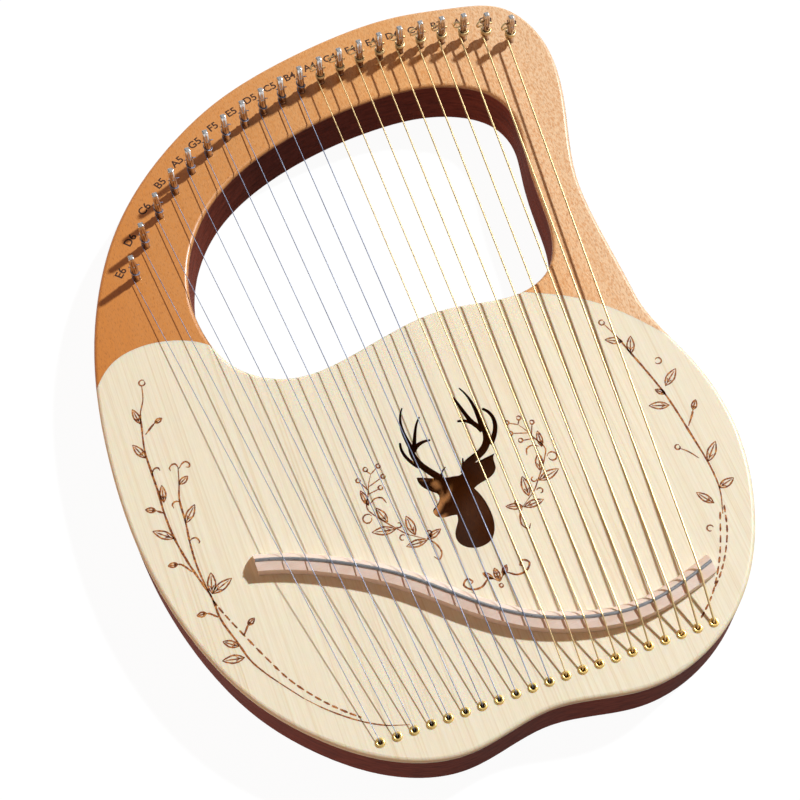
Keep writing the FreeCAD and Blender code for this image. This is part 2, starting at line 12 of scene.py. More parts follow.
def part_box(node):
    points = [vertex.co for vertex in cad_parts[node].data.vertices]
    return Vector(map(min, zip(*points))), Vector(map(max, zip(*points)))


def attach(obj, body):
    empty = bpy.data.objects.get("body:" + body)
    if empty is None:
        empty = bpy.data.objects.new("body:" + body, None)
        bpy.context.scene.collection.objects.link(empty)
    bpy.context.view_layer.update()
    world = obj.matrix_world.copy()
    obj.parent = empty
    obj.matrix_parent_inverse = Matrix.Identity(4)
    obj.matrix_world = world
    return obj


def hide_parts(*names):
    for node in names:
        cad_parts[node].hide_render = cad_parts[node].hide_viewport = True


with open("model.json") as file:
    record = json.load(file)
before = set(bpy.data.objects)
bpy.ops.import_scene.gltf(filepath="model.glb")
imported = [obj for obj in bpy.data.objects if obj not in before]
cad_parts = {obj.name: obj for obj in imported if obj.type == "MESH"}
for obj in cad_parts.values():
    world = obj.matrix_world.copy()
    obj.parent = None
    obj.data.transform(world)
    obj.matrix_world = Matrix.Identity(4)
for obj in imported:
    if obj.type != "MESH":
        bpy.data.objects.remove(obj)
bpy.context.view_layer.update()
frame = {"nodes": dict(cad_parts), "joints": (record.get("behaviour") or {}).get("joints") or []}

MM = 0.001

# ------------------------------------------------------------- places on the frame

STRING_COUNT = 21
PLAIN_COUNT = 11

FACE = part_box("soundboard")[1].z

# The engraving is drawn in millimetres. Its origin is found from the middle of the row of
# grommets, whose place in the drawing is known.
ROW_MIDDLE = (16.8, -210)
grommets_low, grommets_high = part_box("string_grommets")
ART_X = (grommets_low.x + grommets_high.x) / 2 - ROW_MIDDLE[0] * MM
ART_Y = (grommets_low.y + grommets_high.y) / 2 - ROW_MIDDLE[1] * MM

STAG_MIDDLE = 12.6
STAG_LEVEL = -70

PIN_FEET = [Vector(joint["pos_m"]) for joint in frame["joints"]]


def two_digits(index):
    return f"{index + 1:02d}"


# ---------------------------------------------------------------- camera and light

CAMERA_PLACE = Vector((-0.1519, -0.4859, FACE + 0.93))
CAMERA_AIM = Vector((-0.0042, -0.0318, FACE))
CAMERA_ROLL = math.radians(-2.18)
CAMERA_LENS = 76.5
SUN_FROM = Vector((0.706, 0.275, 0.654))
SUN_COLOUR = (0.86, 0.95, 1.0)
SUN_STRENGTH = 4.25
SUN_ANGLE = math.radians(3.4)
FILL_COLOUR = (1.0, 0.62, 0.4, 1)
# Strength of the light from the left and from the right, for fill and for reflections.
FILL_RANGE = (0.86, 0.03)
GLOSS_RANGE = (0.08, 0.5)
# Where that light is at its left and its right strength, along X of its direction.
LIGHT_SPAN = (-1, 0.1)


def make_camera():
    data = bpy.data.cameras.new("camera")
    data.lens = CAMERA_LENS
    data.sensor_width = 36
    data.clip_start = 0.05
    data.clip_end = 20
    camera = bpy.data.objects.new("camera", data)
    bpy.context.collection.objects.link(camera)
    aim = (CAMERA_AIM - CAMERA_PLACE).to_track_quat("-Z", "Y").to_matrix().to_4x4()
    roll = Matrix.Rotation(CAMERA_ROLL, 4, "Z")
    camera.matrix_world = Matrix.Translation(CAMERA_PLACE) @ aim @ roll
    bpy.context.scene.camera = camera


def make_sun():
    data = bpy.data.lights.new("key_light", "SUN")
    data.energy = SUN_STRENGTH
    data.angle = SUN_ANGLE
    data.color = SUN_COLOUR
    sun = bpy.data.objects.new("key_light", data)
    sun.rotation_euler = (-SUN_FROM).to_track_quat("-Z", "Y").to_euler()
    bpy.context.collection.objects.link(sun)


def make_world():
    """A warm fill, stronger from the left; in reflections white, and stronger from the right."""
    world = bpy.data.worlds.new("studio")
    bpy.context.scene.world = world
    world.use_nodes = True
    nodes, links = world.node_tree.nodes, world.node_tree.links
    rays = nodes.new("ShaderNodeLightPath").outputs
    way = nodes.new("ShaderNodeSeparateXYZ")
    links.new(nodes.new("ShaderNodeTexCoord").outputs["Generated"], way.inputs[0])
    strengths = []
    for left, right in (FILL_RANGE, GLOSS_RANGE):
        graded = nodes.new("ShaderNodeMapRange")
        links.new(way.outputs["X"], graded.inputs["Value"])
        graded.inputs["From Min"].default_value = LIGHT_SPAN[0]
        graded.inputs["From Max"].default_value = LIGHT_SPAN[1]
        graded.inputs["To Min"].default_value = left
        graded.inputs["To Max"].default_value = right
        strengths.append(graded.outputs[0])
    by_ray = nodes.new("ShaderNodeMix")
    links.new(rays["Is Glossy Ray"], by_ray.inputs[0])
    links.new(strengths[0], by_ray.inputs[2])
    links.new(strengths[1], by_ray.inputs[3])
    seen = nodes.new("ShaderNodeMix")
    links.new(rays["Is Camera Ray"], seen.inputs[0])
    links.new(by_ray.outputs[0], seen.inputs[2])
    seen.inputs[3].default_value = 1.0
    tint = nodes.new("ShaderNodeMix")
    tint.data_type = "RGBA"
    links.new(rays["Is Diffuse Ray"], tint.inputs[0])
    tint.inputs[6].default_value = (1, 1, 1, 1)
    tint.inputs[7].default_value = FILL_COLOUR
    links.new(tint.outputs[2], nodes["Background"].inputs["Color"])
    links.new(seen.outputs[0], nodes["Background"].inputs["Strength"])


# ------------------------------------------------------------------ material tools


def colour(red, green, blue):
    """A linear colour from the usual 0 to 255 values."""
    channels = []
    for value in (red, green, blue):
        share = value / 255
        dark = share / 12.92
        light = ((share + 0.055) / 1.055) ** 2.4
        channels.append(dark if share <= 0.04045 else light)
    return (*channels, 1)


class Finish:
    """A procedural material, built node by node around one Principled shader."""

    def __init__(self, name, **settings):
        self.material = bpy.data.materials.new(name)
        self.material.use_nodes = True
        self.tree = self.material.node_tree
        self.shader = self.tree.nodes["Principled BSDF"]
        self.place = self.node("ShaderNodeTexCoord").outputs["Object"]
        for socket, value in settings.items():
            self.shader.inputs[socket.replace("_", " ")].default_value = value

    def node(self, kind, inputs=None, **properties):
        made = self.tree.nodes.new(kind)
        for name, value in properties.items():
            setattr(made, name, value)
        for key, value in (inputs or {}).items():
            if isinstance(value, bpy.types.NodeSocket):
                self.tree.links.new(value, made.inputs[key])
            else:
                made.inputs[key].default_value = value
        return made

    def stretched(self, x, y, z):
        """The place on the object, scaled along each axis."""
        return self.node("ShaderNodeMapping", {"Vector": self.place, "Scale": (x, y, z)}).outputs[0]

    def noise(self, place, scale, detail=2.0, roughness=0.5):
        inputs = {"Vector": place, "Scale": scale, "Detail": detail, "Roughness": roughness}
        return self.node("ShaderNodeTexNoise", inputs).outputs["Fac"]

    def ramp(self, factor, *stops):
        """A colour ramp through (position, colour) stops."""
        made = self.node("ShaderNodeValToRGB", {"Fac": factor})
        steps = made.color_ramp.elements
        while len(steps) < len(stops):
            steps.new(0.5)
        for step, (position, shade) in zip(steps, stops):
            step.position = position
            step.color = shade if isinstance(shade, tuple) else (shade, shade, shade, 1)
        return made.outputs["Color"]

    def mix(self, factor, first, second, blend="MIX"):
        inputs = {0: factor, 6: first, 7: second}
        made = self.node("ShaderNodeMix", inputs, data_type="RGBA", blend_type=blend)
        return made.outputs[2]

    def combine(self, operation, first, second):
        inputs = {0: first, 1: second}
        return self.node("ShaderNodeMath", inputs, operation=operation).outputs[0]

    def share_along(self, axis, start, end):
        """How far the place lies from start to end on one axis, from 0 to 1."""
        place = self.node("ShaderNodeSeparateXYZ", {0: self.place}).outputs[axis]
        inputs = {"Value": place, "From Min": start, "From Max": end}
        return self.node("ShaderNodeMapRange", inputs).outputs[0]

    def upward(self):
        """The upward part of the surface's direction: 1 on the front, 0 on a side."""
        geometry = self.node("ShaderNodeNewGeometry")
        return self.node("ShaderNodeSeparateXYZ", {0: geometry.outputs["Normal"]}).outputs["Z"]

    def level_distance_from(self, point):
        """How far the surface is from a point at height 0, measured level."""
        flat = self.stretched(1, 1, 0)
        inputs = {0: flat, 1: point}
        return self.node("ShaderNodeVectorMath", inputs, operation="DISTANCE").outputs["Value"]

    def soften(self, weight, reach, scale):
        """Lets light spread inside the wood, red furthest."""
        self.shader.inputs["Subsurface Weight"].default_value = weight
        self.shader.inputs["Subsurface Radius"].default_value = reach
        self.shader.inputs["Subsurface Scale"].default_value = scale

    def bump(self, height, strength, distance):
        inputs = {"Height": height, "Strength": strength, "Distance": distance}
        made = self.node("ShaderNodeBump", inputs)
        self.tree.links.new(made.outputs["Normal"], self.shader.inputs["Normal"])

    def link(self, output, socket):
        self.tree.links.new(output, self.shader.inputs[socket])


# -------------------------------------------------------------------------- woods

FRONT_GOLD = colour(203, 124, 52)
FRONT_ORANGE = colour(234, 174, 112)
FRONT_PALE = colour(246, 204, 160)
BACK_ORANGE = colour(206, 132, 74)
SPECK_GOLD = colour(214, 134, 56)
PORE_BROWN = colour(140, 74, 30)
SIDE_BROWN = colour(138, 62, 42)
SIDE_DARK = colour(94, 38, 24)
SPRUCE_PALE = colour(249, 233, 208)
SPRUCE_CREAM = colour(245, 227, 199)
SPRUCE_LINE = colour(235, 212, 178)
SPRUCE_EDGE = colour(240, 205, 155)
BURNT_EDGE = colour(92, 48, 28)
MAPLE_PINK = colour(246, 222, 208)
MAPLE_TAN = colour(236, 206, 186)
BRACE_PALE = colour(214, 176, 130)
BRACE_TAN = colour(184, 140, 96)
LINE_DARK = colour(102, 44, 8)
LINE_BROWN = colour(154, 84, 26)
LINE_LIGHT = colour(206, 138, 68)


def mahogany(name, left, middle, right, lacquer):
    """Open-pored wood with short dark pores, painted paler to the right as a sheen from the key light; its
    sides are darker, partly their own colour and partly painted shade, and dull.
    """
    wood = Finish(name, Coat_Roughness=0.22)
    bands = wood.noise(wood.stretched(1, 0.05, 0.3), 130, 4, 0.55)
    # Painted sheen: the colour grows paler from left to right along X, standing in for the key light's
    # sheen; the noise bands are the wood's own figure.
    across = wood.combine("ADD", wood.share_along("X", -0.19, 0.19), wood.combine("MULTIPLY", bands, 0.16))
    figure_and_sheen = wood.ramp(across, (0.1, left), (0.82, middle), (1.0, right))
    gold = wood.noise(wood.stretched(1, 0.4, 1), 900, 3, 0.65)
    speckled = wood.mix(wood.ramp(gold, (0.44, 0.0), (0.64, 0.62)), figure_and_sheen, SPECK_GOLD)
    pores = wood.noise(wood.stretched(1, 0.14, 1), 2300, 2, 0.5)
    pore_mask = wood.ramp(pores, (0.34, 0.42), (0.44, 0.0))
    front = wood.mix(pore_mask, speckled, PORE_BROWN)
    # The sides are darker than the front: partly the wood's own darker colour and partly painted shade on
    # walls turned away from the key light.
    layers = wood.noise(wood.stretched(0.25, 0.05, 1), 420, 5, 0.6)
    side = wood.ramp(layers, (0.3, SIDE_DARK), (0.72, SIDE_BROWN))
    level = wood.ramp(wood.upward(), (0.12, 0.0), (0.55, 1.0))
    wood.link(wood.mix(level, side, front), "Base Color")
    wood.link(wood.ramp(level, (0.0, 0.7), (1.0, 0.4)), "Roughness")
    wood.link(wood.ramp(level, (0.0, 0.05), (1.0, 0.5)), "Specular IOR Level")
    wood.link(wood.combine("MULTIPLY", level, lacquer), "Coat Weight")
    wood.bump(wood.mix(0.5, pores, gold), 0.15, 0.0003)
    return wood.material


# The sound hole's walls are burnt this far from the stag's middle, and not at all further out.
BURNT_REACH = 0.075
BURNT_LIMIT = 0.085


def spruce():
    """Cream straight-grained wood, tan on its rounded edge and burnt in the sound hole."""
    wood = Finish("spruce", Roughness=0.5, Coat_Weight=0.1, Coat_Roughness=0.3)
    wood.soften(0.35, (1.0, 0.5, 0.22), 0.005)
    years = wood.noise(wood.stretched(1, 0.004, 0.2), 900, 2, 0.5)
    ground = wood.ramp(years, (0.3, SPRUCE_PALE), (0.55, SPRUCE_CREAM), (0.74, SPRUCE_LINE))
    fibres = wood.noise(wood.stretched(1, 0.05, 1), 2600, 2, 0.6)
    front = wood.mix(0.1, ground, wood.ramp(fibres, (0.3, 0.5), (0.65, 1.0)), "MULTIPLY")
    level = wood.upward()
    rounded = wood.ramp(level, (0.4, 1.0), (0.9, 0.0))
    edged = wood.mix(rounded, front, SPRUCE_EDGE)
    upright = wood.ramp(level, (0.3, 1.0), (0.6, 0.0))
    stag = (ART_X + STAG_MIDDLE * MM, ART_Y + STAG_LEVEL * MM, 0)
    near = wood.ramp(wood.level_distance_from(stag), (BURNT_REACH, 1.0), (BURNT_LIMIT, 0.0))
    burnt = wood.combine("MULTIPLY", upright, near)
    wood.link(wood.mix(burnt, edged, BURNT_EDGE), "Base Color")
    wood.bump(wood.mix(0.4, years, fibres), 0.1, 0.0002)
    return wood.material


def plain_wood(name, low, high, lacquer=0.1):
    """Close-grained wood with soft long figure."""
    wood = Finish(name, Roughness=0.42, Coat_Weight=lacquer, Coat_Roughness=0.25)
    wood.soften(0.2, (1.0, 0.5, 0.3), 0.003)
    figure = wood.noise(wood.stretched(0.25, 1, 1), 240, 4, 0.55)
    fibres = wood.noise(wood.stretched(0.1, 1, 1), 2400, 2, 0.5)
    base = wood.ramp(figure, (0.3, low), (0.7, high))
    shade = wood.ramp(fibres, (0.3, 0.4), (0.65, 1.0))
    wood.link(wood.mix(0.12, base, shade, "MULTIPLY"), "Base Color")
    wood.bump(fibres, 0.1, 0.0002)
    return wood.material


def burnt(name, dark, middle, light):
    """Laser-burnt wood: brown, lighter where the beam moved fast."""
    burn = Finish(name, Roughness=0.8)
    pulses = burn.noise(burn.stretched(1, 1, 1), 520, 2, 0.6)
    burn.link(burn.ramp(pulses, (0.38, dark), (0.52, middle), (0.66, light)), "Base Color")
    burn.bump(pulses, 0.2, 0.0002)
    return burn.material


# ------------------------------------------------------------------------- metals


def metal(name, bright, dull, roughness, scratch_scale=1500.0, stretch=(1, 1, 1)):
    """Polished metal with faint wear in its colour and gloss."""
    finish = Finish(name, Metallic=1.0)
    wear = finish.noise(finish.stretched(*stretch), scratch_scale, 3, 0.6)
    finish.link(finish.ramp(wear, (0.3, dull), (0.6, bright)), "Base Color")
    finish.link(finish.ramp(wear, (0.3, roughness * 1.6), (0.7, roughness)), "Roughness")
    finish.bump(wear, 0.06, 0.0001)
    return finish.material


def wound_wire():
    """Bronze wire wrapped closely round a core, painted lighter on each turn and darker between turns as
    painted shade.
    """
    finish = Finish("wound_wire", Metallic=1.0, Roughness=0.4)
    inputs = {"Vector": finish.place, "Scale": 1600.0, "Distortion": 0.2}
    turns = finish.node("ShaderNodeTexWave", inputs, bands_direction="Y").outputs["Fac"]
    # Painted shade: the colour darkens between the turns of the winding.
    tint = finish.ramp(turns, (0.1, colour(232, 196, 138)), (0.8, colour(242, 212, 160)))
    tarnish = finish.noise(finish.stretched(1, 0.2, 1), 300, 2, 0.5)
    shade = finish.ramp(tarnish, (0.3, 0.72), (0.6, 1.0))
    finish.link(finish.mix(0.3, tint, shade, "MULTIPLY"), "Base Color")
    return finish.material


def pin_metal():
    """A bright polished tip on a streaked shaft, whose darker brown colour is painted reflection of the
    wood and painted shade.
    """
    steel = Finish("pin_steel", Metallic=1.0, Roughness=0.15)
    streaks = steel.noise(steel.stretched(1, 1, 0.08), 1100, 3, 0.6)
    # Painted reflection and shade: the shaft's brown, dark-streaked colour stands for the wood it reflects
    # and the shade in its grooves.
    shaft = steel.ramp(streaks, (0.4, colour(112, 84, 68)), (0.6, colour(214, 200, 190)))
    head = steel.ramp(streaks, (0.4, colour(186, 184, 184)), (0.6, colour(248, 246, 244)))
    height = steel.share_along("Z", PIN_STAND - 4 * MM, PIN_STAND - 2 * MM)
    steel.link(steel.mix(height, shaft, head), "Base Color")
    steel.bump(streaks, 0.08, 0.0001)
    return steel.material


def make_finishes():
    wire_bright, wire_dull = colour(150, 154, 172), colour(128, 132, 152)
    rod_bright, rod_dull = colour(176, 174, 176), colour(140, 138, 142)
    return {
        "mahogany": mahogany("mahogany", FRONT_GOLD, FRONT_ORANGE, FRONT_PALE, 0.25),
        "mahogany_back": mahogany("mahogany_back", FRONT_GOLD, BACK_ORANGE, FRONT_ORANGE, 0.2),
        "spruce": spruce(),
        "maple": plain_wood("maple", MAPLE_TAN, MAPLE_PINK, lacquer=0.15),
        "brace_wood": plain_wood("brace_wood", BRACE_TAN, BRACE_PALE),
        "brass": metal("brass", colour(255, 222, 146), colour(228, 178, 96), 0.28),
        "rod_steel": metal("rod_steel", rod_bright, rod_dull, 0.26, 900, (0.2, 1, 1)),
        "plain_wire": metal("plain_wire", wire_bright, wire_dull, 0.45, 240, (1, 0.1, 1)),
        "pin_steel": pin_metal(),
        "wound_wire": wound_wire(),
        "burnt_line": burnt("burnt_line", LINE_DARK, LINE_BROWN, LINE_LIGHT),
        "burnt_mark": burnt("burnt_mark", colour(54, 24, 8), colour(66, 32, 12), colour(84, 44, 20)),
    }


NODE_FINISHES = {
    "body_frame": "mahogany",
    "soundboard": "spruce",
    "back_plate": "mahogany_back",
    "bridge": "maple",
    "saddle_rod": "rod_steel",
    "soundboard_brace_upper": "brace_wood",
    "soundboard_brace_lower": "brace_wood",
    "back_brace": "brace_wood",
    "string_grommets": "brass",
    "string_ferrules": "brass",
    "string_ball_ends": "brass",
}


def string_finish(index):
    return "plain_wire" if index < PLAIN_COUNT else "wound_wire"


def dress(thing, finish):
    thing.data.materials.clear()
    thing.data.materials.append(FINISHES[finish])


def dress_cad_nodes():
    for name, finish in NODE_FINISHES.items():
        dress(frame["nodes"][name], finish)
    for index in range(STRING_COUNT):
        dress(frame["nodes"][f"string_{two_digits(index)}"], string_finish(index))


# -------------------------------------------------------------------- mesh tools


def new_piece(name, mesh, finish, body="root"):
    thing = bpy.data.objects.new(name, mesh)
    bpy.context.collection.objects.link(thing)
    dress(thing, finish)
    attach(thing, body)
    return thing


SMOOTH_ANGLE = math.radians(40)


def mesh_of(name, build, smooth_angle=SMOOTH_ANGLE):
    """A mesh filled by build(bmesh), shaded smooth up to an angle."""
    shape = bmesh.new()
    build(shape)
    bmesh.ops.recalc_face_normals(shape, faces=shape.faces)
    mesh = bpy.data.meshes.new(name)
    shape.to_mesh(mesh)
    shape.free()
    mesh.shade_smooth()
    mesh.set_sharp_from_angle(angle=smooth_angle)
    return mesh


def skin_rings(shape, rings):
    """Skins a row of rings of points, each with the same count, and closes both ends."""
    rows = [[shape.verts.new(point) for point in ring] for ring in rings]
    count = len(rows[0])
    for low, high in zip(rows, rows[1:]):
        for here in range(count):
            after = (here + 1) % count
            shape.faces.new((low[here], low[after], high[after], high[here]))
    shape.faces.new(rows[0][::-1])
    shape.faces.new(rows[-1])


def curve_through(points, steps):
    """A smooth line through points of any dimension, by Catmull-Rom."""
    points = [Vector(point) for point in points]
    ends = [points[0] * 2 - points[1], *points, points[-1] * 2 - points[-2]]
    line = []
    for before, here, after, later in zip(ends, ends[1:], ends[2:], ends[3:]):
        for step in range(steps):
            share = step / steps
            line.append(
                0.5 * (2 * here + (after - before) * share
                       + (2 * before - 5 * here + 4 * after - later) * share ** 2
                       + (3 * here - before - 3 * after + later) * share ** 3)
            )
    return [*line, points[-1]]


def tube_rings(path, radius, sides):
    """Rings of points round a path, turned as little as possible from one to the next."""
    rings = []
    across = None
    for place, point in enumerate(path):
        before, after = path[max(place - 1, 0)], path[min(place + 1, len(path) - 1)]
        along = (after - before).normalized()
        if across is None:
            across = along.orthogonal().normalized()
        across = (across - along * across.dot(along)).normalized()
        other = along.cross(across)
        ring = []
        for side in range(sides):
            angle = math.tau * side / sides
            ring.append(point + radius * (math.cos(angle) * across + math.sin(angle) * other))
        rings.append(ring)
    return rings


# ------------------------------------------------------------------- tuning pins

PIN_RADIUS = 2.45 * MM
PIN_STAND = 25.5 * MM
PIN_BURIED = 19.5 * MM
HEAD_LENGTH = 9 * MM
HEAD_HALF = 1.95 * MM
HEAD_TAPER = math.tan(math.radians(1.2))
CROWN_HEIGHT = 0.9 * MM
THREAD_DEPTH = 0.14 * MM
THREAD_PITCH = 0.8 * MM
EYE_HEIGHT = 14.6 * MM
EYE_RADIUS = 0.9 * MM
PIN_SIDES = 48
PIN_SMOOTH_ANGLE = math.radians(28)
FOOT_BEVEL = 0.6 * MM
THREAD_END = 2 * MM
# The crown, ring by ring: millimetres below the tip, share of the shaft's radius, squareness
# and share of the head's width.
CROWN_RINGS = [(0.45, 0.84, 0.9, 0.94), (0.12, 0.6, 0.6, 0.75), (0.0, 0.3, 0.3, 0.4)]


def pin_ring(height, radius, squareness=0.0, half=HEAD_HALF):
    """One ring of the pin: round, or round stock with four flats."""
    ring = []
    for side in range(PIN_SIDES):
        angle = math.tau * (side + 0.5) / PIN_SIDES
        flat = half / max(abs(math.cos(angle)), abs(math.sin(angle)))
        reach = radius + (min(radius, flat) - radius) * squareness
        ring.append(Vector((reach * math.cos(angle), reach * math.sin(angle), height)))
    return ring


def build_pin(shape):
    """A steel pin: a threaded foot, a plain shaft and a square head with a crown."""
    rings = [pin_ring(-PIN_BURIED, PIN_RADIUS * 0.8), pin_ring(-PIN_BURIED + FOOT_BEVEL, PIN_RADIUS)]
    height = -PIN_BURIED + THREAD_PITCH
    while height < THREAD_END:
        rings.append(pin_ring(height, PIN_RADIUS))
        rings.append(pin_ring(height + THREAD_PITCH / 2, PIN_RADIUS - THREAD_DEPTH))
        height += THREAD_PITCH
    rings.append(pin_ring(height, PIN_RADIUS))
    head_foot = PIN_STAND - HEAD_LENGTH
    rings.append(pin_ring(head_foot - 1.6 * MM, PIN_RADIUS))
    rings.append(pin_ring(head_foot - 0.4 * MM, PIN_RADIUS, 0.35))
    rings.append(pin_ring(head_foot, PIN_RADIUS, 1.0))
    neck = PIN_STAND - CROWN_HEIGHT
    narrowed = HEAD_HALF - HEAD_LENGTH * HEAD_TAPER
    rings.append(pin_ring(neck, PIN_RADIUS - 0.1 * MM, 1.0, narrowed))
    for below, reach, squareness, width in CROWN_RINGS:
        rings.append(pin_ring(PIN_STAND - below * MM, PIN_RADIUS * reach, squareness, narrowed * width))
    skin_rings(shape, rings)


def pierced_pin_mesh():
    """The pin's mesh with its eye bored through along X."""
    solid = mesh_of("pin_solid", build_pin, PIN_SMOOTH_ANGLE)
    bore = mesh_of("eye_bore", build_eye_bore)
    pin = bpy.data.objects.new("pin_solid", solid)
    cutter = bpy.data.objects.new("eye_bore", bore)
    for thing in (pin, cutter):
        bpy.context.collection.objects.link(thing)
    cut = pin.modifiers.new("eye", "BOOLEAN")
    cut.object = cutter
    cut.operation = "DIFFERENCE"
    cut.solver = "EXACT"
    bpy.context.view_layer.update()
    scene_state = bpy.context.evaluated_depsgraph_get()
    pierced = bpy.data.meshes.new_from_object(pin.evaluated_get(scene_state))
    pierced.name = "tuning_pin"
    for thing in (pin, cutter):
        bpy.data.objects.remove(thing)
    return pierced


def build_eye_bore(shape):
    path = [Vector((x * MM, 0, EYE_HEIGHT)) for x in (-4, 0, 4)]
    skin_rings(shape, tube_rings(path, EYE_RADIUS, 20))


WIRE_CLEARANCE = 0.06 * MM
PLAIN_COIL_START = 2.8 * MM
PLAIN_PITCH = 6.4 * MM
PLAIN_TURNS = 1.25
WOUND_COIL_START = 6.4 * MM
WOUND_PITCH_SPARE = 0.2 * MM
WOUND_TURNS = 2.25


def wire_radius(index):
    if index < PLAIN_COUNT:
        return (0.45 + 0.02 * index) / 2 * MM
    return (0.80 + 0.06 * (index - PLAIN_COUNT)) / 2 * MM


def coil_top(index):
    """Height of the wire's centre at the last turn on the pin."""
    wire = wire_radius(index)
    if index < PLAIN_COUNT:
        return PLAIN_COIL_START + PLAIN_PITCH * PLAIN_TURNS
    return WOUND_COIL_START + (2 * wire + WOUND_PITCH_SPARE) * WOUND_TURNS


def round_pin(degrees, radius, height):
    angle = math.radians(degrees)
    return Vector((radius * math.cos(angle), radius * math.sin(angle), height))


def tail_path(index, chance):
    """From the last turn, out round the right side, through the eye and out on the left."""
    wire = wire_radius(index)
    close = PIN_RADIUS + wire + WIRE_CLEARANCE
    low = coil_top(index) + 2 * wire + 2 * WIRE_CLEARANCE
    climb = EYE_HEIGHT - low
    bulge = (chance.uniform(1.2, 1.7) if index < PLAIN_COUNT else chance.uniform(0.6, 1.2)) * MM
    path = [
        round_pin(92, close, low),
        round_pin(64, close + 0.1 * MM, low + 0.06 * climb),
        round_pin(38, close + 0.5 * bulge, low + 0.2 * climb),
        round_pin(14, close + bulge, low + 0.5 * climb),
        round_pin(3, close + 0.8 * bulge, low + 0.84 * climb),
        round_pin(0, PIN_RADIUS + 0.5 * MM, EYE_HEIGHT),
        Vector((0, 0, EYE_HEIGHT)),
        Vector((-PIN_RADIUS - 0.4 * MM, 0, EYE_HEIGHT)),
    ]
    if index < PLAIN_COUNT:
        path.append(Vector((-PIN_RADIUS - 0.8 * MM, 0.1 * MM, EYE_HEIGHT + 0.2 * MM)))
        return path
    return path + curled_end(path[-1], chance)


CURL_STEPS = 8


def curled_end(start, chance):
    """A loose loop of spare wire, left of the pin."""
    size = chance.uniform(2.1, 2.9) * MM
    lean = chance.uniform(-0.5, 0.5)
    centre = start + Vector((-size * 0.5 - 0.8 * MM, -0.2 * MM, size * 0.9))
    turn = chance.uniform(255, 320)
    loop = []
    for step in range(CURL_STEPS + 1):
        share = step / CURL_STEPS
        angle = math.radians(-70 - turn * share)
        out = Vector((math.cos(angle), lean * math.cos(angle) + 0.35 * share, math.sin(angle)))
        loop.append(centre + size * out)
    return loop


def make_pins():
    pin_mesh = pierced_pin_mesh()
    for index, foot in enumerate(PIN_FEET):
        number = two_digits(index)
        chance = random.Random(100 + index)
        pin = new_piece(f"pin_{number}_steel", pin_mesh, "pin_steel")
        pin.location = foot
        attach(pin, f"pin_{number}")
        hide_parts(f"tuning_pin_{number}")
        path = curve_through(tail_path(index, chance), 6)
        rings = tube_rings(path, wire_radius(index), 10)
        mesh = mesh_of(f"wire_end_{number}", lambda shape: skin_rings(shape, rings))
        finish = string_finish(index)
        tail = new_piece(f"wire_end_{number}", mesh, finish)
        tail.location = foot
        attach(tail, f"pin_{number}")


# --------------------------------------------------------------------- engraving

LINE_TOP = 0.03 * MM
LINE_BOTTOM = -0.12 * MM


